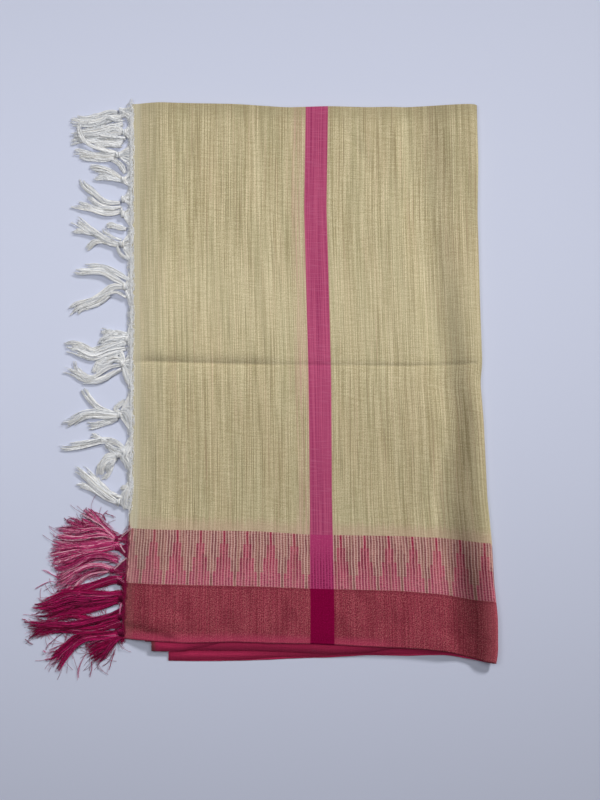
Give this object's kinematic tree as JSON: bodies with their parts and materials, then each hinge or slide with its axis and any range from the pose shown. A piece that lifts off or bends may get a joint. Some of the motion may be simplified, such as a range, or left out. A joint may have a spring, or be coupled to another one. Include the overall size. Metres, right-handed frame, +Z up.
{
  "type": "dupatta",
  "caption": "Handwoven dupatta folded flat: beige slub body with a magenta cross stripe, a red border with a temple-spire band, and knotted white and magenta tassels.",
  "frame": {"origin": "centre of the folded cloth, on the surface it rests on", "axes": "+Z up from the surface, +Y to the doubling fold, +X to the last lapping fold, away from the fringe"},
  "size_m": [0.401, 0.4887, 0.0072],
  "materials": {
    "body_cloth": "matte",
    "border_cloth": "matte",
    "white_fringe": "matte",
    "magenta_fringe": "silky"
  },
  "bodies": {
    "root": {"outer_ply": "body_cloth", "second_ply": "border_cloth", "folded_core": "body_cloth", "tassel_white_01": "white_fringe", "tassel_white_02": "white_fringe", "tassel_white_03": "white_fringe", "tassel_white_04": "white_fringe", "tassel_white_05": "white_fringe", "tassel_white_06": "white_fringe", "tassel_white_07": "white_fringe", "tassel_white_08": "white_fringe", "tassel_white_09": "white_fringe", "tassel_white_10": "white_fringe", "tassel_white_11": "white_fringe", "tassel_white_12": "white_fringe", "tassel_white_13": "white_fringe", "tassel_magenta_01": "magenta_fringe", "tassel_magenta_02": "magenta_fringe", "tassel_magenta_03": "magenta_fringe", "tassel_magenta_04": "magenta_fringe", "tassel_magenta_05": "magenta_fringe", "tassel_magenta_06": "magenta_fringe", "tassel_magenta_07": "magenta_fringe"}
  },
  "joints": []
}
